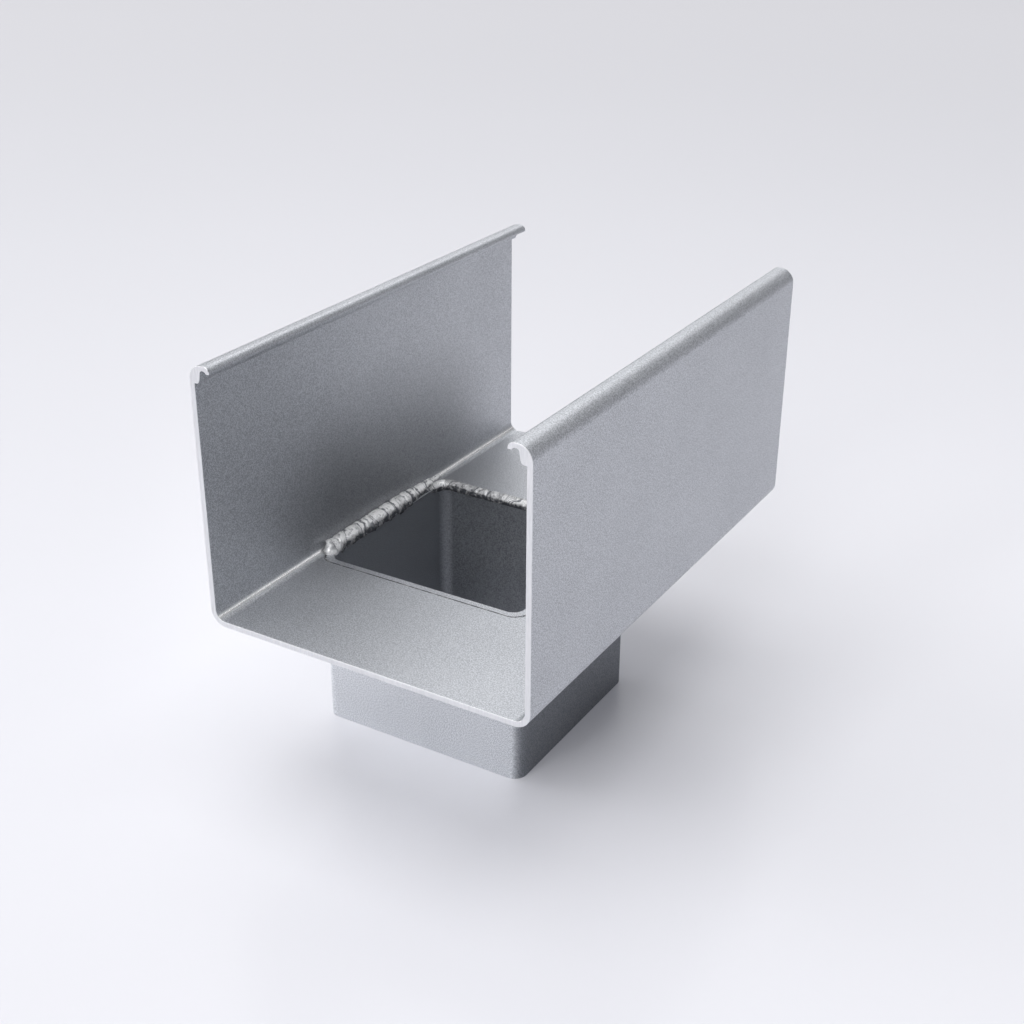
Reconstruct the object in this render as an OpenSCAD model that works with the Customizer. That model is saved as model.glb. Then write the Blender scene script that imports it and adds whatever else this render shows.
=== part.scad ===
/* [Gutter] */
// Width over the outside of the two walls
gutter_w = 100; // [92:1:150]
// Height from the underside of the sole to the top of the noses
gutter_h = 75; // [40:1:120]
// Length of the piece along the run of the gutter
gutter_len = 155; // [130:1:300]
// Thickness of the walls and of the sole
wall_t = 1.6; // [1.2:0.1:2]
// Inside radius of the bend between each wall and the sole
bend_r = 3; // [2:0.5:4]

/* [Nose] */
// Radius of the rounded outer shoulder at the top of each wall
shoulder_r = 4.2; // [2.4:0.2:5]
// Reach of the lip, from the outside of the wall to its tip
lip_reach = 6.7; // [6.2:0.1:8]
// Thickness of the lip over the crown of its hollow
lip_t = 1.3; // [1.1:0.05:1.6]
// Radius of the lip's back, which turns down to the tip
lip_r = 1.7; // [1.4:0.1:1.8]
// Depth of the tip, from the top of the nose
tip_drop = 1.95; // [1.8:0.05:2.2]
// Thickness of the tip
tip_t = 1.1; // [0.8:0.05:1.2]
// Thickness of the pad at its lower edge, from the outside of the wall
pad_t = 3.2; // [2.8:0.1:3.4]
// How much thicker the pad grows on its way up to the lip
pad_taper = 0.4; // [0.1:0.1:0.6]
// Depth of the pad, from the top of the nose to its lower edge
pad_drop = 5; // [4.5:0.1:8]
// Radius of the rounded lower edge of the pad
pad_edge_r = 0.9; // [0.5:0.1:1.2]

/* [Spigot] */
// Width of the spigot over its outside, across the gutter
spigot_w = 68.5; // [50:0.5:74]
// Length of the spigot over its outside, along the gutter
spigot_l = 65; // [50:0.5:74]
// Wall thickness of the spigot
spigot_t = 2.2; // [1.6:0.1:3]
// Outside radius of the spigot's corners
spigot_r = 4; // [3:0.5:7]
// Inside radius of the spigot's corners
bore_r = 3.6; // [2:0.2:5]
// Depth of the spigot below the underside of the sole
spigot_drop = 52; // [30:0.5:100]
// Distance from the front end of the gutter to the spigot
spigot_inset = 42.5; // [15:0.5:50]
// Space between the inside of the left wall and the spigot
side_gap = 2.1; // [1.6:0.1:4]
// Clearance round the spigot in the hole of the sole
hole_gap = 0.1; // [0.05:0.05:0.2]

/* [Weld] */
// Distance of the heavy run's middle from the inside of the left wall
wall_run_in = 1.3; // [0.9:0.1:1.4]
// How far the heavy run laps over the rim of the spigot
wall_run_lap = 2.1; // [1.8:0.1:2.4]
// Where the heavy run starts, behind the front of the spigot
wall_run_start = 3.6; // [2:0.2:6]
// Length of one ripple in the heavy run
ripple_len = 3.6; // [2.4:0.1:3.6]
// How far the runs along the other three sides lap over both faces of the spigot's wall
rim_lap = 0.7; // [0.65:0.05:0.9]
// Height above the sole of the run along the front and the right
rim_run_h = 0.6; // [0.5:0.05:0.9]
// Height above the sole of the run along the back
back_run_h = 1.1; // [0.8:0.1:1.3]

/* [Hidden] */
$fn = 48;
// Overshoot of every cutting shape
over = 1;

// Heights above the spigot's lower rim, where the part stands
sole_z = spigot_drop;
sole_top_z = spigot_drop + wall_t;

// Radius of the hollow that a bracket clips into, which fills the space from the pad to the tip
clip_r = (lip_reach - tip_t - pad_t - pad_taper) / 2;

// Middle of the spigot in plan, with the middle of the gutter as origin
left_wall_x = -gutter_w / 2 + wall_t;
front_y = -gutter_len / 2;
spigot_x = left_wall_x + side_gap + spigot_w / 2;
spigot_y = front_y + spigot_inset + spigot_l / 2;

// Line along the middle of the spigot's wall, which the rim's runs follow
rim_w = spigot_w - spigot_t;
rim_l = spigot_l - spigot_t;
rim_r = (spigot_r + bore_r) / 2;
// Where the rim's corners lie from its middle, from the back right one round by way of the left
corner_dirs = [[1, 1], [-1, 1], [-1, -1], [1, -1]];

// Radii of the weld runs, from what each has to cover
wall_run_r = side_gap + wall_run_lap - wall_run_in;
rim_run_r = spigot_t / 2 + rim_lap;

aluminium = "#A4A8AE";
bright_weld = "#D5D7DA";

// Trough section and nose, drawn across the gutter with the sole's underside on the X axis

module both_sides() {
    children();
    mirror([1, 0]) children();
}

// A tall shape with its two lower corners rounded
module round_footed(w, h, r) {
    difference() {
        translate([-w / 2, 0]) square([w, h]);
        both_sides() translate([-w / 2, 0]) mirror([0, 1]) corner_waste(r);
    }
}

// What a rounded top left corner of radius r leaves out, with the sharp corner at the origin
module corner_waste(r) {
    difference() {
        translate([-over, -r]) square([r + over, r + over]);
        translate([r, -r]) circle(r);
    }
}

// Left nose, with the sharp outer corner at the origin and the inside towards +X
module nose() {
    pad_top_t = pad_t + pad_taper;
    hollow_z = -lip_t - clip_r;
    difference() {
        union() {
            polygon([[0, 0], [0, -pad_drop], [pad_t, -pad_drop], [pad_top_t, hollow_z], [pad_top_t, 0]]);
            translate([0, -tip_drop]) square([lip_reach, tip_drop]);
        }
        translate([pad_top_t + clip_r, hollow_z]) circle(clip_r);
        translate([pad_t, -pad_drop]) rotate(180) corner_waste(pad_edge_r);
        translate([lip_reach, 0]) mirror([1, 0]) corner_waste(lip_r);
    }
}

module channel_section() {
    translate([0, wall_t]) round_footed(gutter_w - 2 * wall_t, gutter_h, bend_r);
}

module trough_section() {
    difference() {
        union() {
            difference() {
                round_footed(gutter_w, gutter_h, bend_r + wall_t);
                channel_section();
            }
            both_sides() translate([-gutter_w / 2, gutter_h]) nose();
        }
        both_sides() translate([-gutter_w / 2, gutter_h]) corner_waste(shoulder_r);
    }
}

// Runs a section along the gutter, with the section's X axis at the underside of the sole
module along_gutter() {
    translate([0, 0, sole_z]) rotate([90, 0, 0])
        linear_extrude(height = gutter_len, center = true) children();
}

// The spigot's outline grown by some distance all round, with corners of radius r
module spigot_outline(grow, r) {
    w = spigot_w + 2 * grow;
    l = spigot_l + 2 * grow;
    translate([spigot_x, spigot_y]) {
        square([w, l - 2 * r], center = true);
        square([w - 2 * r, l], center = true);
        for (dir = corner_dirs)
            translate([dir.x * (w / 2 - r), dir.y * (l / 2 - r)]) circle(r);
    }
}

module spigot_bore() {
    translate([0, 0, -over])
        linear_extrude(height = sole_top_z + 2 * over) spigot_outline(-spigot_t, bore_r);
}

module gutter_trough() {
    color(aluminium) difference() {
        along_gutter() trough_section();
        translate([0, 0, sole_z - over])
            linear_extrude(height = wall_t + bend_r + over)
                spigot_outline(hole_gap, spigot_r + hole_gap);
    }
}

module outlet_spigot() {
    color(aluminium) difference() {
        linear_extrude(height = sole_top_z) spigot_outline(0, spigot_r);
        spigot_bore();
    }
}

// Heavy run: ripples laid one over the other along the foot of the left wall, up to the spigot's back
module wall_run() {
    run_len = spigot_l - wall_run_start - 2 * wall_run_r;
    ripples = ceil(run_len / ripple_len);
    translate([left_wall_x + wall_run_in, spigot_y + spigot_l / 2 - wall_run_r, sole_top_z])
        for (i = [0 : ripples])
            translate([0, -i * run_len / ripples, 0]) sphere(wall_run_r);
}

// Quarter turn of a run round one corner of the rim
module corner_run(corner, h) {
    dir = corner_dirs[corner];
    x = spigot_x + dir.x * (rim_w / 2 - rim_r);
    y = spigot_y + dir.y * (rim_l / 2 - rim_r);
    translate([x, y, sole_top_z + h - rim_run_r])
        rotate(90 * corner) rotate_extrude(angle = 90) translate([rim_r, 0]) circle(rim_run_r);
}

// Straight run along the back of the rim (side 1) or along its front (side -1)
module across_run(side, h) {
    translate([spigot_x, spigot_y + side * rim_l / 2, sole_top_z + h - rim_run_r])
        rotate([0, 90, 0]) cylinder(r = rim_run_r, h = rim_w - 2 * rim_r, center = true);
}

// Straight run along the right of the rim
module right_run(h) {
    translate([spigot_x + rim_w / 2, spigot_y, sole_top_z + h - rim_run_r])
        rotate([90, 0, 0]) cylinder(r = rim_run_r, h = rim_l - 2 * rim_r, center = true);
}

module weld_bead() {
    color(bright_weld) difference() {
        intersection() {
            union() {
                wall_run();
                for (corner = [0, 1]) corner_run(corner, back_run_h);
                for (corner = [2, 3]) corner_run(corner, rim_run_h);
                across_run(1, back_run_h);
                across_run(-1, rim_run_h);
                right_run(rim_run_h);
            }
            union() {
                along_gutter() channel_section();
                spigot_bore();
            }
        }
        outlet_spigot();
    }
}

gutter_trough();
outlet_spigot();
weld_bead();
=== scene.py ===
import math

import bmesh
import bpy
import numpy as np
from mathutils import Matrix, Vector, kdtree


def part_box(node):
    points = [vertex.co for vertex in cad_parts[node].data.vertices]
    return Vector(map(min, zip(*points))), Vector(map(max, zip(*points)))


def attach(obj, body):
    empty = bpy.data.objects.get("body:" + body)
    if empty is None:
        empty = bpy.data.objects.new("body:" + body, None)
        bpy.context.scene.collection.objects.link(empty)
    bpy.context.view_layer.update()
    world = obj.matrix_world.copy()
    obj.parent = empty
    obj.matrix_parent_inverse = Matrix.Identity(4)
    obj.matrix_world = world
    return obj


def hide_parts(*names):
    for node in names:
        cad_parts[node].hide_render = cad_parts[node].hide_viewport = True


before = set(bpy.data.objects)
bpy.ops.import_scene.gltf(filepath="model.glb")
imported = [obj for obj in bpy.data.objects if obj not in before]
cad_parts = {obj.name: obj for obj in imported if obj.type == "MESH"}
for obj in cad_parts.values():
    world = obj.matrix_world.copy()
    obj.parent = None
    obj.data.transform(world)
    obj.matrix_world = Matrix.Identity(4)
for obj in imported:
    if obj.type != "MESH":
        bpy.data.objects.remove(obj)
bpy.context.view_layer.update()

MM = 0.001

# Sizes of the part, in millimetres, as in its source
WALL_T = 1.6
BEND_R = 3.0
SPIGOT_W = 68.5
SPIGOT_L = 65.0
SPIGOT_T = 2.2
SPIGOT_R = 4.0
BORE_R = 3.6

trough_low, trough_high = [np.array(corner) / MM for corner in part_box("gutter_trough")]
spigot_low, spigot_high = [np.array(corner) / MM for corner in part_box("outlet_spigot")]
LEFT_WALL_X = trough_low[0] + WALL_T
FRONT_Y = trough_low[1]
BACK_Y = trough_high[1]
SOLE_TOP_Z = spigot_high[2]
SPIGOT_X = (spigot_low[0] + spigot_high[0]) / 2
SPIGOT_Y = (spigot_low[1] + spigot_high[1]) / 2


# Helpers

def linear(hex_colour):
    """The linear colour of an sRGB hex value, opaque."""
    channels = [int(hex_colour[i:i + 2], 16) / 255 for i in (1, 3, 5)]
    return [c / 12.92 if c <= 0.04045 else ((c + 0.055) / 1.055) ** 2.4 for c in channels] + [1.0]


def add(tree, kind, inputs=None, **settings):
    """Adds a node with its settings; an input is set to a value, or linked where it is a socket."""
    node = tree.nodes.new(kind)
    for name, value in settings.items():
        setattr(node, name, value)
    for key, value in (inputs or {}).items():
        if isinstance(value, bpy.types.NodeSocket):
            tree.links.new(value, node.inputs[key])
        else:
            node.inputs[key].default_value = value
    return node


def new_material(name):
    """An empty material and its node tree."""
    material = bpy.data.materials.new(name)
    material.use_nodes = True
    material.node_tree.nodes.clear()
    return material, material.node_tree


# Materials

# A mix has its share at input 0. Two colours go to inputs 6 and 7 and come out at 2, and two numbers go to
# inputs 2 and 3 and come out at 0. All lengths here are in millimetres

# The painted shade beside the heavy run is darkest along a line on the left wall. These are the line's
# height above the sole, the distance of its middle behind the spigot's middle, and half its length
SHADE_LINE_H = 12
SHADE_LINE_BACK = 8
SHADE_LINE_HALF = 22
# Distances from the line where the painted shade is full and where it ends, and the share of grey where it
# is full
SHADE_FULL = 3
SHADE_END = 44
SHADE_SHARE = 0.4
# The painted shade lies on the inside faces only, so its mask is cut off this deep in the metal
SHADE_DEPTH = 0.5
# A bend's middle lies this share of its radius, both ways, from the corner that its two faces would make
BEND_MIDDLE = 0.29
# Distances from a bend's middle where the painted highlight is full and where it ends
HIGHLIGHT_FULL = 0.2
HIGHLIGHT_END = 1.0


def painted_shade_by_run(tree, place):
    """The share of painted shade on the left wall and the sole near the heavy run."""
    spots = add(tree, "ShaderNodeSeparateXYZ", {0: place}).outputs
    past_end = add(tree, "ShaderNodeMath", {0: spots["Y"], 1: (SPIGOT_Y + SHADE_LINE_BACK) * MM},
                   operation="SUBTRACT").outputs[0]
    past_end = add(tree, "ShaderNodeMath", {0: past_end}, operation="ABSOLUTE").outputs[0]
    past_end = add(tree, "ShaderNodeMath", {0: past_end, 1: SHADE_LINE_HALF * MM},
                   operation="SUBTRACT").outputs[0]
    past_end = add(tree, "ShaderNodeMath", {0: past_end, 1: 0.0}, operation="MAXIMUM").outputs[0]
    away = add(tree, "ShaderNodeCombineXYZ", {"X": spots["X"], "Y": past_end, "Z": spots["Z"]}).outputs[0]
    line = (LEFT_WALL_X * MM, 0, (SOLE_TOP_Z + SHADE_LINE_H) * MM)
    away = add(tree, "ShaderNodeVectorMath", {0: away, 1: line}, operation="DISTANCE").outputs["Value"]
    painted_shade = add(tree, "ShaderNodeMapRange", {"Value": away, "From Min": SHADE_END * MM,
                                             "From Max": SHADE_FULL * MM, "To Max": SHADE_SHARE},
                interpolation_type="SMOOTHSTEP").outputs[0]
    for axis, inner_face in (("X", LEFT_WALL_X), ("Z", SOLE_TOP_Z)):
        inside = add(tree, "ShaderNodeMath", {0: spots[axis], 1: (inner_face - SHADE_DEPTH) * MM},
                     operation="GREATER_THAN").outputs[0]
        painted_shade = add(tree, "ShaderNodeMath", {0: painted_shade, 1: inside}, operation="MULTIPLY").outputs[0]
    return painted_shade


def painted_bend_highlight(tree, place):
    """The share of painted highlight in the middle of each inside bend, over a soft line some 1.2 mm wide.
    """
    # Taking every place as positive lays the left bend over the right one
    section = add(tree, "ShaderNodeVectorMath", {0: place, 1: (1.0, 0.0, 1.0)},
                  operation="MULTIPLY").outputs[0]
    section = add(tree, "ShaderNodeVectorMath", {0: section}, operation="ABSOLUTE").outputs[0]
    middle = (-(LEFT_WALL_X + BEND_R * BEND_MIDDLE) * MM, 0.0, (SOLE_TOP_Z + BEND_R * BEND_MIDDLE) * MM)
    away = add(tree, "ShaderNodeVectorMath", {0: section, 1: middle}, operation="DISTANCE").outputs["Value"]
    return add(tree, "ShaderNodeMapRange", {"Value": away, "From Min": HIGHLIGHT_END * MM,
                                            "From Max": HIGHLIGHT_FULL * MM},
               interpolation_type="SMOOTHSTEP").outputs[0]


def satin_aluminium(name, dark, pale, stretch, painted_right_shade=None):
    """Extruded aluminium, caustic etched: a satin grey with a fine even grain and faint die lines.

    The stretch draws the die lines out. The right side, where given, gets a darker pair of shades, which is
    painted shade."""
    material, tree = new_material(name)
    place = add(tree, "ShaderNodeTexCoord").outputs["Object"]
    # The pits of the etch are about 0.1 mm wide, drawn as 0.35 mm so that they show
    grain = add(tree, "ShaderNodeTexNoise", {"Vector": place, "Scale": 1 / (0.35 * MM), "Detail": 2.0,
                                             "Roughness": 0.6}).outputs["Fac"]
    # Die lines run along the extrusion, 1.5 mm apart and some 190 mm long
    along = add(tree, "ShaderNodeMapping", {"Vector": place, "Scale": stretch}).outputs[0]
    lines = add(tree, "ShaderNodeTexNoise", {"Vector": along, "Scale": 1 / (1.5 * MM), "Detail": 3.0,
                                             "Roughness": 0.7}).outputs["Fac"]
    # The etch is a little uneven over areas of 30 mm
    cloud = add(tree, "ShaderNodeTexNoise", {"Vector": place, "Scale": 1 / (30 * MM), "Detail": 3.0,
                                             "Roughness": 0.55}).outputs["Fac"]
    speckle = add(tree, "ShaderNodeMapRange", {"Value": grain, "From Min": 0.38, "From Max": 0.62,
                                               "To Max": 0.85}).outputs[0]
    shade = add(tree, "ShaderNodeMath", {0: cloud, 1: 0.25, 2: speckle}, operation="MULTIPLY_ADD").outputs[0]
    shade = add(tree, "ShaderNodeMath", {0: lines, 1: 0.12, 2: shade}, operation="MULTIPLY_ADD").outputs[0]
    colour = add(tree, "ShaderNodeMix", {0: shade, 6: linear(dark), 7: linear(pale)},
                 data_type="RGBA").outputs[2]
    if painted_right_shade:
        # Painted shade: the faces that look to the right are darker, and the change runs round the corners
        facing = add(tree, "ShaderNodeNewGeometry").outputs["Normal"]
        facing = add(tree, "ShaderNodeSeparateXYZ", {0: facing}).outputs["X"]
        turned = add(tree, "ShaderNodeMapRange", {"Value": facing, "From Min": 0.2, "From Max": 0.95},
                     interpolation_type="SMOOTHSTEP").outputs[0]
        right_shade_colour = add(tree, "ShaderNodeMix", {0: shade, 6: linear(painted_right_shade[0]), 7: linear(painted_right_shade[1])},
                     data_type="RGBA").outputs[2]
        colour = add(tree, "ShaderNodeMix", {0: turned, 6: colour, 7: right_shade_colour}, data_type="RGBA").outputs[2]
    # Painted shade: the faces beside the heavy run, on the left wall and the sole, are darkened towards grey
    colour = add(tree, "ShaderNodeMix", {0: painted_shade_by_run(tree, place), 6: colour, 7: linear("#505256")},
                 data_type="RGBA").outputs[2]
    # Painted highlight: a white line along the middle of each inside bend, where the metal is also smoother
    bend_highlight = painted_bend_highlight(tree, place)
    colour = add(tree, "ShaderNodeMix", {0: bend_highlight, 6: colour, 7: linear("#FFFFFF")},
                 data_type="RGBA").outputs[2]
    rough = add(tree, "ShaderNodeMapRange", {"Value": grain, "From Min": 0.3, "From Max": 0.7,
                                             "To Min": 0.46, "To Max": 0.58}).outputs[0]
    rough = add(tree, "ShaderNodeMix", {0: bend_highlight, 2: rough, 3: 0.25}).outputs[0]
    bump = add(tree, "ShaderNodeBump", {"Height": grain, "Strength": 0.5, "Distance": 0.08 * MM}).outputs[0]
    metal = add(tree, "ShaderNodeBsdfPrincipled", {"Base Color": colour, "Metallic": 1.0,
                                                   "Roughness": rough, "Normal": bump})
    add(tree, "ShaderNodeOutputMaterial", {"Surface": metal.outputs[0]})
    return material


def sawn_aluminium():
    """Aluminium cut by a fine saw and left bare: paler than the etched faces, with fine lines."""
    material, tree = new_material("sawn_bare_aluminium")
    place = add(tree, "ShaderNodeTexCoord").outputs["Object"]
    # Saw lines run up the cut ends, 0.3 mm apart and some 3 mm long
    upwards = add(tree, "ShaderNodeMapping", {"Vector": place, "Scale": (1.0, 1.0, 0.1)}).outputs[0]
    lines = add(tree, "ShaderNodeTexNoise", {"Vector": upwards, "Scale": 1 / (0.3 * MM), "Detail": 2.0,
                                             "Roughness": 0.6}).outputs["Fac"]
    colour = add(tree, "ShaderNodeMix", {0: lines, 6: linear("#D2D3D6"), 7: linear("#F0F0F2")},
                 data_type="RGBA").outputs[2]
    rough = add(tree, "ShaderNodeMapRange", {"Value": lines, "To Min": 0.42, "To Max": 0.6}).outputs[0]
    bump = add(tree, "ShaderNodeBump", {"Height": lines, "Strength": 0.4, "Distance": 0.03 * MM}).outputs[0]
    metal = add(tree, "ShaderNodeBsdfPrincipled", {"Base Color": colour, "Metallic": 1.0,
                                                   "Roughness": rough, "Normal": bump})
    add(tree, "ShaderNodeOutputMaterial", {"Surface": metal.outputs[0]})
    return material


def weld_aluminium():
    """Aluminium weld metal, laid by hand and left as it froze: frosty crests, soot with painted shade along
    the toes, and painted shade in the valleys.
    """
    material, tree = new_material("rippled_weld_aluminium")
    place = add(tree, "ShaderNodeTexCoord").outputs["Object"]
    valley = add(tree, "ShaderNodeAttribute", attribute_name="valley").outputs["Fac"]
    toe = add(tree, "ShaderNodeAttribute", attribute_name="toe").outputs["Fac"]
    phase = add(tree, "ShaderNodeAttribute", attribute_name="phase").outputs["Fac"]
    # Wrinkles in the skin of the frozen puddles, 0.6 mm wide, and frosty patches, 1.6 mm wide
    skin = add(tree, "ShaderNodeTexNoise", {"Vector": place, "Scale": 1 / (0.6 * MM), "Detail": 1.0,
                                            "Roughness": 0.6}).outputs["Fac"]
    patch = add(tree, "ShaderNodeTexNoise", {"Vector": place, "Scale": 1 / (1.6 * MM), "Detail": 3.0,
                                             "Roughness": 0.65}).outputs["Fac"]
    # Freeze lines lie across the bead, three or four to a ripple, and wander with the patches
    lines = add(tree, "ShaderNodeMath", {0: patch, 1: 0.5, 2: phase}, operation="MULTIPLY_ADD").outputs[0]
    lines = add(tree, "ShaderNodeTexNoise", {"W": lines, "Scale": 3.6, "Detail": 1.0},
                noise_dimensions="1D").outputs["Fac"]
    frost_and_shade = add(tree, "ShaderNodeMath", {0: patch, 1: lines}, operation="ADD").outputs[0]
    # Painted shade: the frost is less in the valleys between the ripples
    frost_and_shade = add(tree, "ShaderNodeMath", {0: valley, 1: -0.3, 2: frost_and_shade}, operation="MULTIPLY_ADD").outputs[0]
    frost_and_shade = add(tree, "ShaderNodeMapRange", {"Value": frost_and_shade, "From Min": 0.66, "From Max": 0.98}).outputs[0]
    colour = add(tree, "ShaderNodeMix", {0: frost_and_shade, 6: linear("#76787D"), 7: linear("#FFFFFF")},
                 data_type="RGBA").outputs[2]
    # Soot with painted shade darkens the toes, and its edge wanders with the patches; a little painted shade
    # lies in the valleys
    edge = add(tree, "ShaderNodeMath", {0: patch, 1: 2.0, 2: toe}, operation="MULTIPLY_ADD").outputs[0]
    dark_toe_edge = add(tree, "ShaderNodeMapRange", {"Value": edge, "From Min": 1.15, "From Max": 2.05}).outputs[0]
    furrow = add(tree, "ShaderNodeMath", {0: valley, 1: 2.0}, operation="POWER").outputs[0]
    soot_and_shade = add(tree, "ShaderNodeMath", {0: furrow, 1: 0.35, 2: dark_toe_edge}, operation="MULTIPLY_ADD",
               use_clamp=True).outputs[0]
    colour = add(tree, "ShaderNodeMix", {0: soot_and_shade, 6: colour, 7: linear("#414348")},
                 data_type="RGBA").outputs[2]
    rough = add(tree, "ShaderNodeMapRange", {"Value": soot_and_shade, "To Min": 0.34, "To Max": 0.6}).outputs[0]
    bump = add(tree, "ShaderNodeBump", {"Height": skin, "Strength": 0.4, "Distance": 0.12 * MM}).outputs[0]
    # The oxide skin scatters most of the light, so the frozen metal is only partly a mirror
    metal = add(tree, "ShaderNodeBsdfPrincipled", {"Base Color": colour, "Metallic": 0.3,
                                                   "Roughness": rough, "Normal": bump})
    add(tree, "ShaderNodeOutputMaterial", {"Surface": metal.outputs[0]})
    return material


def floor_laminate():
    """Smooth white laminate, slightly glossy: pale, with a soft shadow and a faint mirror image."""
    material, tree = new_material("white_laminate")
    board = add(tree, "ShaderNodeBsdfPrincipled", {"Base Color": linear("#DBDBE0"), "Roughness": 0.22,
                                                   "IOR": 1.3})
    # From 0.4 m to 1.7 m out the board is lifted towards white where it is seen, also in mirrors; the light
    # that it scatters stays plain
    glow = add(tree, "ShaderNodeEmission", {"Color": linear("#EFEEF3"), "Strength": 1.0}).outputs[0]
    rays = add(tree, "ShaderNodeLightPath").outputs
    seen = add(tree, "ShaderNodeMath", {0: rays["Is Camera Ray"], 1: rays["Is Glossy Ray"]},
               operation="ADD").outputs[0]
    seen = add(tree, "ShaderNodeMath", {0: seen, 1: rays["Is Transmission Ray"]}, operation="ADD",
               use_clamp=True).outputs[0]
    place = add(tree, "ShaderNodeTexCoord").outputs["Object"]
    out = add(tree, "ShaderNodeVectorMath", {0: place}, operation="LENGTH").outputs["Value"]
    lift = add(tree, "ShaderNodeMapRange", {"Value": out, "From Min": 0.4, "From Max": 1.7, "To Max": 0.35},
               interpolation_type="SMOOTHSTEP").outputs[0]
    lift = add(tree, "ShaderNodeMath", {0: seen, 1: lift}, operation="MULTIPLY").outputs[0]
    mixed = add(tree, "ShaderNodeMixShader", {0: lift, 1: board.outputs[0], 2: glow}).outputs[0]
    add(tree, "ShaderNodeOutputMaterial", {"Surface": mixed})
    return material


# Die lines are drawn out along the gutter on the trough, and upright on the tube
ALONG_GUTTER = (1.0, 0.008, 1.0)
UPRIGHT = (1.0, 1.0, 0.008)
SATIN = satin_aluminium("satin_etched_aluminium", "#A2A5AA", "#DEE0E4", ALONG_GUTTER)
# The tube is a little paler than the trough. Its right side gets a darker pair of shades, painted shade that
# stands in for the shade falling on that side. Its right side is dark grey in the photo, so it has duller
# shades; the photo can't tell how much of that is finish and how much is light
TUBE = satin_aluminium("satin_etched_tube", "#AFB2B7", "#ECEEF1", UPRIGHT, ("#6E7176", "#989BA0"))
# The bore has darker shades as well: painted shade inside the tube
BORE = satin_aluminium("dull_etched_bore", "#888B90", "#B2B5BA", UPRIGHT)
SAWN = sawn_aluminium()
WELD = weld_aluminium()


# Trough and spigot

# Rounding of the sharp edges, and how near to a cut a face belongs to it, in millimetres
EASE_R = 0.14
AT_CUT = 0.2
# Edges sharper than the first angle are rounded, and edges sharper than the second shaded as edges
EASED_ANGLE = math.radians(32)
SHADED_ANGLE = math.radians(40)
# A face counts as looking one way where its normal has more than this share of that direction
LOOKS = 0.3


def eased_copy(node, name, finishes, finish_of):
    """A CAD node's shape with its sharp edges eased; finish_of gives each face's place in the finishes."""
    shape = bmesh.new()
    shape.from_mesh(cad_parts[node].data)
    bmesh.ops.remove_doubles(shape, verts=shape.verts, dist=0.001 * MM)
    bmesh.ops.dissolve_limit(shape, angle_limit=math.radians(0.3), verts=shape.verts, edges=shape.edges)
    sharp = [edge for edge in shape.edges
             if len(edge.link_faces) == 2 and edge.calc_face_angle() > EASED_ANGLE]
    bmesh.ops.bevel(shape, geom=sharp, offset=EASE_R * MM, offset_type="OFFSET", segments=2, profile=0.5,
                    affect="EDGES", clamp_overlap=False)
    mesh = bpy.data.meshes.new(name)
    shape.to_mesh(mesh)
    shape.free()
    for finish in finishes:
        mesh.materials.append(finish)
    for face in mesh.polygons:
        face.use_smooth = True
        face.material_index = finish_of(face)
    mesh.set_sharp_from_angle(angle=SHADED_ANGLE)
    piece = bpy.data.objects.new(name, mesh)
    bpy.context.scene.collection.objects.link(piece)
    even = piece.modifiers.new("flat_faces_even", "WEIGHTED_NORMAL")
    even.keep_sharp = True
    even.weight = 100
    return piece


def trough_finish(face):
    """The cut faces at the two ends are bare; the rest is etched."""
    from_end = min(face.center.y / MM - FRONT_Y, BACK_Y - face.center.y / MM)
    return 1 if abs(face.normal.y) > LOOKS and from_end < AT_CUT else 0


def spigot_finish(face):
    """The cut lower rim is bare, the upper rim etched like the sole, and the bore's faces get painted shade.
    """
    if face.normal.z < -LOOKS and face.center.z < AT_CUT * MM:
        return 1
    if face.normal.z > LOOKS:
        return 3
    x = face.center.x / MM - SPIGOT_X
    y = face.center.y / MM - SPIGOT_Y
    looks_inwards = x * face.normal.x + y * face.normal.y < 0
    return 2 if looks_inwards else 0


trough = eased_copy("gutter_trough", "trough_shell", (SATIN, SAWN), trough_finish)
spigot = eased_copy("outlet_spigot", "spigot_tube", (TUBE, SAWN, BORE, SATIN), spigot_finish)


# Weld

# Angle over which the soot and painted shade along a toe fade out, in degrees
TOE_FADE = 34
# Depth of the weld's hidden root in the wall, the bend and the sole, and how far down it may lie in the bore
ROOT = 0.5
BORE_ROOT = 2.0


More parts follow.
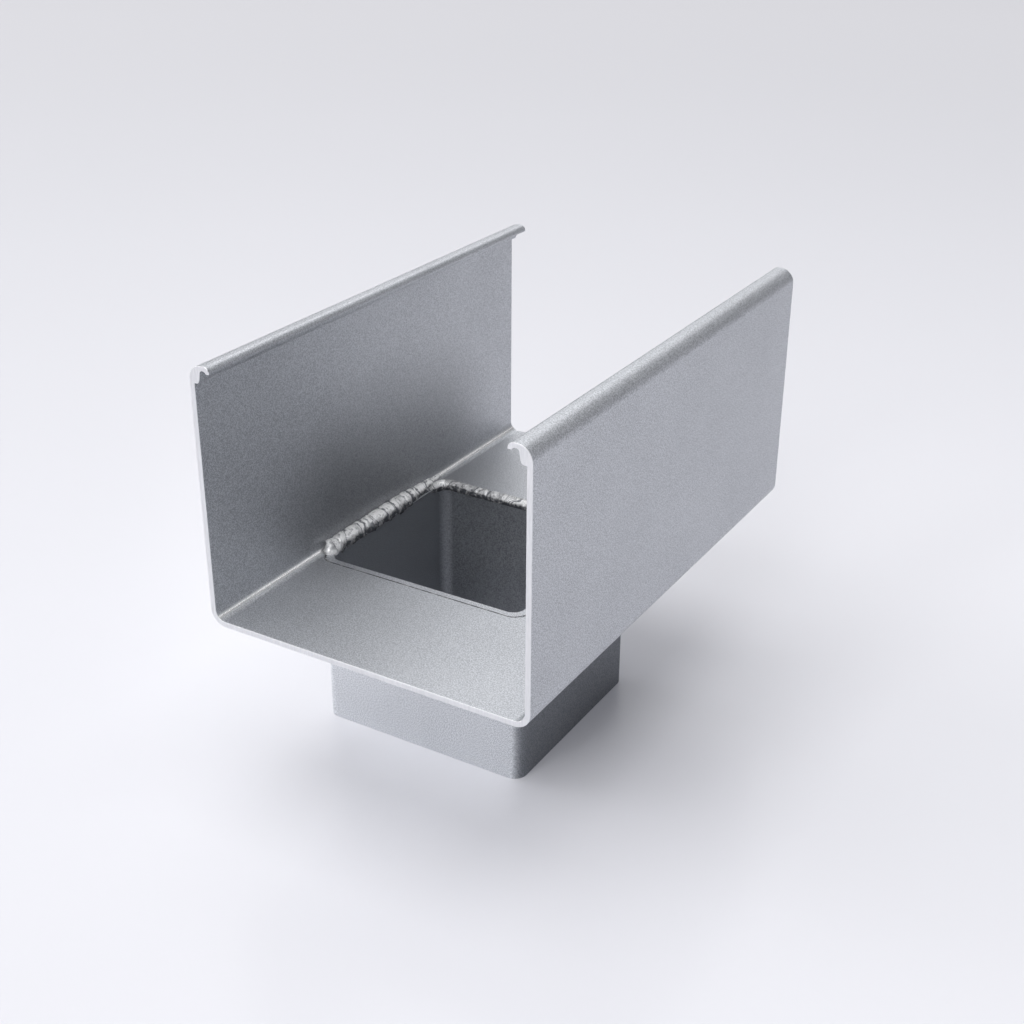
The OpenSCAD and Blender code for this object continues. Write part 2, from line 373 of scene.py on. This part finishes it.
def bead_tree():
    """A node tree that lays a bead along a line: a round section with overlapping ripples that lean."""
    tree = bpy.data.node_groups.new("rippled_bead", "GeometryNodeTree")
    tree.interface.new_socket("Geometry", in_out="INPUT", socket_type="NodeSocketGeometry")
    for size in ("Ripple length", "Lean", "Unevenness", "Seed"):
        tree.interface.new_socket(size, in_out="INPUT", socket_type="NodeSocketFloat")
    tree.interface.new_socket("Material", in_out="INPUT", socket_type="NodeSocketMaterial")
    tree.interface.new_socket("Geometry", in_out="OUTPUT", socket_type="NodeSocketGeometry")
    given = add(tree, "NodeGroupInput").outputs
    stored = {}
    for name in ("bead_r", "ripple_depth", "travel", "around"):
        stored[name] = add(tree, "GeometryNodeInputNamedAttribute", {"Name": name},
                           data_type="FLOAT").outputs[0]

    # A round section, with its place round the bead kept, swept along the line at the bead's radius
    travel = add(tree, "GeometryNodeSplineParameter").outputs["Length"]
    around = add(tree, "GeometryNodeSplineParameter").outputs["Factor"]
    line = add(tree, "GeometryNodeMeshToCurve", {"Mesh": given["Geometry"]}).outputs[0]
    line = add(tree, "GeometryNodeStoreNamedAttribute", {"Geometry": line, "Name": "travel",
                                                         "Value": travel},
               data_type="FLOAT", domain="POINT").outputs[0]
    section = add(tree, "GeometryNodeCurvePrimitiveCircle", {"Resolution": 36, "Radius": 1.0}).outputs[0]
    section = add(tree, "GeometryNodeStoreNamedAttribute", {"Geometry": section, "Name": "around",
                                                            "Value": around},
                  data_type="FLOAT", domain="POINT").outputs[0]
    laid = add(tree, "GeometryNodeCurveToMesh", {"Curve": line, "Profile Curve": section,
                                                 "Scale": stored["bead_r"], "Fill Caps": True}).outputs[0]

    # Phase of the ripples: each leans, with one side of the bead ahead of the other, and no two are alike
    place = add(tree, "GeometryNodeInputPosition").outputs[0]
    wander = add(tree, "ShaderNodeTexNoise", {"Vector": place, "W": given["Seed"], "Scale": 1 / (5 * MM),
                                              "Detail": 1.0}, noise_dimensions="4D").outputs["Fac"]
    wander = add(tree, "ShaderNodeMath", {0: wander, 1: 0.5}, operation="SUBTRACT").outputs[0]
    wander = add(tree, "ShaderNodeMath", {0: wander, 1: given["Unevenness"]},
                 operation="MULTIPLY").outputs[0]
    turn = add(tree, "ShaderNodeMath", {0: stored["around"], 1: 2 * math.pi},
               operation="MULTIPLY").outputs[0]
    turn = add(tree, "ShaderNodeMath", {0: turn}, operation="COSINE").outputs[0]
    lead = add(tree, "ShaderNodeMath", {0: turn, 1: given["Lean"]}, operation="MULTIPLY").outputs[0]
    phase = add(tree, "ShaderNodeMath", {0: stored["travel"], 1: lead}, operation="ADD").outputs[0]
    phase = add(tree, "ShaderNodeMath", {0: phase, 1: given["Ripple length"]},
                operation="DIVIDE").outputs[0]
    phase = add(tree, "ShaderNodeMath", {0: phase, 1: wander}, operation="ADD").outputs[0]

    # Round crests with narrow valleys between them
    crest = add(tree, "ShaderNodeMath", {0: phase, 1: math.pi}, operation="MULTIPLY").outputs[0]
    crest = add(tree, "ShaderNodeMath", {0: crest}, operation="SINE").outputs[0]
    crest = add(tree, "ShaderNodeMath", {0: crest}, operation="ABSOLUTE").outputs[0]
    crest = add(tree, "ShaderNodeMath", {0: crest, 1: 0.6}, operation="POWER").outputs[0]
    # A valley counts in full where the ripples are 0.5 mm deep
    valley = add(tree, "ShaderNodeMath", {0: 1.0, 1: crest}, operation="SUBTRACT").outputs[0]
    depth_share = add(tree, "ShaderNodeMath", {0: stored["ripple_depth"], 1: 0.5 * MM}, operation="DIVIDE",
                      use_clamp=True).outputs[0]
    valley = add(tree, "ShaderNodeMath", {0: valley, 1: depth_share}, operation="MULTIPLY").outputs[0]
    for name, values in (("valley", valley), ("phase", phase)):
        laid = add(tree, "GeometryNodeStoreNamedAttribute", {"Geometry": laid, "Name": name,
                                                             "Value": values},
                   data_type="FLOAT", domain="POINT").outputs[0]

    # Lumps of 2.2 mm on top of the ripples
    lump = add(tree, "ShaderNodeTexNoise", {"Vector": place, "W": given["Seed"], "Scale": 1 / (2.2 * MM),
                                            "Detail": 2.0}, noise_dimensions="4D").outputs["Fac"]
    lump = add(tree, "ShaderNodeMath", {0: lump, 1: 0.6}, operation="SUBTRACT").outputs[0]
    lump = add(tree, "ShaderNodeMath", {0: lump, 1: 1.5}, operation="MULTIPLY").outputs[0]
    height = add(tree, "ShaderNodeMath", {0: crest, 1: 1.0}, operation="SUBTRACT").outputs[0]
    height = add(tree, "ShaderNodeMath", {0: height, 1: lump}, operation="ADD").outputs[0]
    height = add(tree, "ShaderNodeMath", {0: height, 1: stored["ripple_depth"]},
                 operation="MULTIPLY").outputs[0]
    outward = add(tree, "GeometryNodeInputNormal").outputs[0]
    shift = add(tree, "ShaderNodeVectorMath", {0: outward, "Scale": height}, operation="SCALE").outputs[0]
    laid = add(tree, "GeometryNodeSetPosition", {"Geometry": laid, "Offset": shift}).outputs[0]
    laid = add(tree, "GeometryNodeRealizeInstances", {0: laid}).outputs[0]
    laid = add(tree, "GeometryNodeSetMaterial", {"Geometry": laid, "Material": given["Material"]}).outputs[0]
    add(tree, "NodeGroupOutput", {0: laid})
    return tree


BEAD = bead_tree()


def lay_bead(name, points, radii, depths, **sizes):
    """The plain mesh of a bead along a line of points, with its radius and its ripples' depth at each.

    The sizes are the tree's inputs by name, with _ for each space."""
    line = bpy.data.meshes.new(name)
    line.from_pydata([tuple(p * MM) for p in points], [(i, i + 1) for i in range(len(points) - 1)], [])
    for attribute, values in (("bead_r", radii), ("ripple_depth", depths)):
        line.attributes.new(attribute, "FLOAT", "POINT").data.foreach_set("value", [v * MM for v in values])
    path = bpy.data.objects.new(name, line)
    bpy.context.scene.collection.objects.link(path)
    layer = path.modifiers.new("bead", "NODES")
    layer.node_group = BEAD
    values = dict(sizes, Material=WELD)
    for socket in BEAD.interface.items_tree:
        key = socket.name.replace(" ", "_")
        if socket.in_out == "INPUT" and key in values:
            layer[socket.identifier] = values[key]
    graph = bpy.context.evaluated_depsgraph_get()
    mesh = bpy.data.meshes.new_from_object(path.evaluated_get(graph))
    path.modifiers.remove(layer)
    bpy.data.objects.remove(path)
    return mesh


def mark_toes(mesh, centres, inwards, low, high, least):
    """Stores the soot and painted shade at each vertex, from its angle round the bead: 0 on the bore's side,
    90 on top.

    There is none from the angle low to the angle high, apart from the share least."""
    tree = kdtree.KDTree(len(centres))
    for number, centre in enumerate(centres):
        tree.insert((centre[0], centre[1], 0), number)
    tree.balance()
    soot_and_shade = []
    for vertex in mesh.vertices:
        x, y, z = vertex.co / MM
        number = tree.find((x, y, 0))[1]
        centre = centres[number]
        reach = (x - centre[0]) * inwards[number][0] + (y - centre[1]) * inwards[number][1]
        angle = math.degrees(math.atan2(z - centre[2], reach))
        toe = max(low[number] - angle, angle - high[number]) / TOE_FADE if angle > -90 else 1
        soot_and_shade.append(min(max(toe, least[number]), 1))
    mesh.attributes.new("toe", "FLOAT", "POINT").data.foreach_set("value", soot_and_shade)


def wall_run():
    """The heavy run: a blunt start at the front, and a long tail into the back of the seam."""
    # Radius, distance of the middle from the wall, depth of the ripples and step between points
    run_r = 3.15
    run_in = 1.5
    ripple_depth = 0.36
    step = 0.22
    # Radius that is left at the very ends, which closes them
    end_r = 0.05
    # Lengths of the blunt start and of the tail
    start_len = 1.3
    tail_len = 26.0
    # The run starts 4.2 mm behind the spigot's front and ends 5 mm behind its back
    start_y = SPIGOT_Y - SPIGOT_L / 2 + 4.2
    end_y = SPIGOT_Y + SPIGOT_L / 2 + 5.0
    along = np.arange(start_y, end_y, step)
    started = np.clip((along - start_y) / start_len, 0, 1)
    tail = np.clip((end_y - along) / tail_len, 0, 1)
    # Share of the full size: a round start, and a tail that thins more and more
    share = np.sqrt(1 - (1 - started) ** 2) * tail ** 0.6
    points = np.stack([np.full_like(along, LEFT_WALL_X) + run_in * share, along,
                       np.full_like(along, SOLE_TOP_Z)], axis=1)
    mesh = lay_bead("wall_run", points, np.maximum(run_r * share, end_r), ripple_depth * share,
                    Ripple_length=4.8 * MM, Lean=1.1 * MM, Unevenness=1.7, Seed=3.0)
    # Over its first 5 mm the run is frosty down to the sole, and only its very tip is dark all over with
    # soot and painted shade
    settled = np.clip((along - start_y) / 5, 0, 1)
    low = 50 * settled - 46 * (1 - settled)
    high = 98 - 40 * np.clip(1 - (along - start_y) / 1.2, 0, 1)
    at_tip = 0.85 * np.clip(1.4 - (along - start_y) / 0.5, 0, 1)
    mark_toes(mesh, points, np.tile((1.0, 0.0), (len(points), 1)), low, high, at_tip)
    return mesh


def rim_run():
    """The light run round the spigot's rim: a thin fillet in front, a fuller bead at the back."""
    half_w = (SPIGOT_W - SPIGOT_T) / 2
    half_l = (SPIGOT_L - SPIGOT_T) / 2
    corner_r = (SPIGOT_R + BORE_R) / 2
    # Step between points on the straight sides, and number of steps round each corner
    step = 0.33
    corner_steps = 22
    outline = []
    outwards = []
    for quarter in range(4):
        turn = math.radians(90 * quarter)
        # Distance of the side from the middle, and half the length of its straight part
        half, flat = [(half_w, half_l - corner_r), (half_l, half_w - corner_r)][quarter % 2]
        across = np.array([math.cos(turn), math.sin(turn)])
        ahead = np.array([-math.sin(turn), math.cos(turn)])
        for shift in np.arange(-flat, flat, step):
            outline.append(across * half + ahead * shift)
            outwards.append(across)
        for bend in np.linspace(0, math.pi / 2, corner_steps, endpoint=False):
            away = across * math.cos(bend) + ahead * math.sin(bend)
            outline.append(across * (half - corner_r) + ahead * flat + corner_r * away)
            outwards.append(away)
    outline = np.array(outline)
    outwards = np.array(outwards)
    x, y = outline.T
    # How full the bead is: it fills out towards the back, over 22 mm on the left and 12 mm on the right
    fill_start = np.where(x < 0, half_l - 22, half_l - 14)
    fill_len = np.where(x < 0, 22, 12)
    fullness = np.clip((y - fill_start) / fill_len, 0, 1)
    fullness = fullness ** 2 * (3 - 2 * fullness)
    # The back, apart from the millimetres next to its left corner
    at_back = np.clip(y - half_l + 1, 0, 1) * np.clip((x + half_w - 5) / 6, 0, 1)
    # Height above the sole, radius, and depth of the ripples, which are deepest at the back
    height = 0.07 + 0.95 * fullness
    radius = 0.45 + 1.5 * fullness
    depth = 0.02 + 0.06 * fullness + 0.15 * at_back
    # The thin fillet lies on the spigot's outer edge, the full bead on the middle of its wall
    outset = (1 - fullness) * SPIGOT_T / 2
    points = np.column_stack([x + outwards[:, 0] * outset + SPIGOT_X,
                              y + outwards[:, 1] * outset + SPIGOT_Y,
                              SOLE_TOP_Z + height - radius])
    # The run starts and ends inside the heavy run
    start = int(np.argmin(np.hypot(x + half_w, y)))
    points, radius, depth, outwards, fullness = [np.roll(values, -start, axis=0) for values in
                                                 (points, radius, depth, outwards, fullness)]
    mesh = lay_bead("rim_run", points, radius, depth,
                    Ripple_length=3.4 * MM, Lean=0.5 * MM, Unevenness=2.4, Seed=8.0)
    # Painted shade darkens the back, most near the left wall, and the left side beneath the heavy run
    from_wall = points[:, 0] - LEFT_WALL_X
    behind = outwards[:, 1] > 0.8
    painted_shade_near_wall = behind * np.clip((from_wall - 5) / 2, 0, 1) * np.clip((30 - from_wall) / 24, 0, 1)
    beneath = (outwards[:, 0] < -0.8) * np.clip((half_l - 1 - (points[:, 1] - SPIGOT_Y)) / 8, 0, 1)
    low = 36 + 84 * (1 - fullness) + 30 * painted_shade_near_wall
    high = 128 - 66 * (1 - fullness) - 36 * painted_shade_near_wall
    mark_toes(mesh, points, -outwards, low, high, 0.5 * behind + 0.15 * painted_shade_near_wall + 0.9 * beneath)
    return mesh


def kept_shallow(x, y, z):
    """A point of the weld, moved so that the hidden root stays inside the wall, the bend and the sole."""
    x = max(x, LEFT_WALL_X - ROOT)
    outside = max(abs(x - SPIGOT_X) - SPIGOT_W / 2, abs(y - SPIGOT_Y) - SPIGOT_L / 2)
    on_metal = outside > -SPIGOT_T - 0.1
    z = max(z, SOLE_TOP_Z - (ROOT if on_metal else BORE_ROOT))
    bend_x = x - LEFT_WALL_X - BEND_R
    bend_z = z - SOLE_TOP_Z - BEND_R
    deep = math.hypot(bend_x, bend_z) / (BEND_R + ROOT)
    if on_metal and bend_x < 0 and bend_z < 0 and deep > 1:
        x = LEFT_WALL_X + BEND_R + bend_x / deep
        z = SOLE_TOP_Z + BEND_R + bend_z / deep
    return x * MM, y * MM, z * MM


seam = bmesh.new()
for run in (wall_run(), rim_run()):
    seam.from_mesh(run)
for vertex in seam.verts:
    vertex.co = kept_shallow(*[c / MM for c in vertex.co])
seam_mesh = bpy.data.meshes.new("weld_seam")
seam.to_mesh(seam_mesh)
seam.free()
seam_mesh.materials.append(WELD)
for face in seam_mesh.polygons:
    face.use_smooth = True
weld = bpy.data.objects.new("weld_seam", seam_mesh)
bpy.context.scene.collection.objects.link(weld)

for piece, node, finish in ((trough, "gutter_trough", "mill_aluminium"),
                            (spigot, "outlet_spigot", "mill_aluminium"),
                            (weld, "weld_bead", "weld_metal")):
    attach(piece, "root")
    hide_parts(node)


# Floor

# Half of the floor's side, in metres
FLOOR_HALF = 6.0
floor_mesh = bpy.data.meshes.new("floor")
floor_mesh.from_pydata([(-FLOOR_HALF, -FLOOR_HALF, 0), (FLOOR_HALF, -FLOOR_HALF, 0),
                        (FLOOR_HALF, FLOOR_HALF, 0), (-FLOOR_HALF, FLOOR_HALF, 0)], [], [(0, 1, 2, 3)])
floor_mesh.materials.append(floor_laminate())
floor = bpy.data.objects.new("floor", floor_mesh)
bpy.context.scene.collection.objects.link(floor)


# Lights

# Every lamp is aimed at the part; places and sizes are in metres, powers in watts
AIM = Vector((0, 0, 0.05))
for name, place, size, power in (("key_front_left", (-2.4, -3.1, 3.0), (4.2, 3.8), 60),
                                 ("front", (0.0, -4.25, 2.75), (3.2, 2.8), 128),
                                 ("low_left", (-4.4, -0.75, 1.75), (2.5, 2.0), 78),
                                 ("overhead", (0.0, 0.0, 4.75), (3.8, 3.8), 112),
                                 ("high_back", (-2.25, 5.5, 5.0), (6.0, 4.0), 104),
                                 ("back_right", (2.75, 3.5, 2.75), (1.2, 1.0), 4)):
    soft_box = bpy.data.lights.new(name, "AREA")
    soft_box.shape = "RECTANGLE"
    soft_box.size, soft_box.size_y = size
    soft_box.energy = power
    lamp = bpy.data.objects.new(name, soft_box)
    turned = (Vector(place) - AIM).to_track_quat("Z", "Y").to_matrix().to_4x4()
    lamp.matrix_world = Matrix.Translation(place) @ turned
    bpy.context.scene.collection.objects.link(lamp)

world = bpy.data.worlds.new("studio")
bpy.context.scene.world = world
world.use_nodes = True
world.node_tree.nodes.clear()
surround = add(world.node_tree, "ShaderNodeBackground", {"Color": linear("#F4F5FA"), "Strength": 0.3})
add(world.node_tree, "ShaderNodeOutputWorld", {"Surface": surround.outputs[0]})


# Camera

# Place in metres, and turns about Z, X and Z again in degrees; with the lens, they fit the photo's edges
CAMERA_PLACE = (0.20156, -0.34045, 0.25988)
CAMERA_TURNS = (30.83, 63.891, 0.285)
camera_data = bpy.data.cameras.new("camera")
camera_data.sensor_width = 36.0
camera_data.sensor_fit = "HORIZONTAL"
camera_data.lens = 53.021
camera_data.clip_start = 0.01
camera = bpy.data.objects.new("camera", camera_data)
turned = Matrix.Identity(4)
for degrees, axis in zip(CAMERA_TURNS, "ZXZ"):
    turned = turned @ Matrix.Rotation(math.radians(degrees), 4, axis)
camera.matrix_world = Matrix.Translation(CAMERA_PLACE) @ turned
bpy.context.scene.collection.objects.link(camera)
bpy.context.scene.camera = camera
bpy.context.scene.view_settings.view_transform = "Standard"
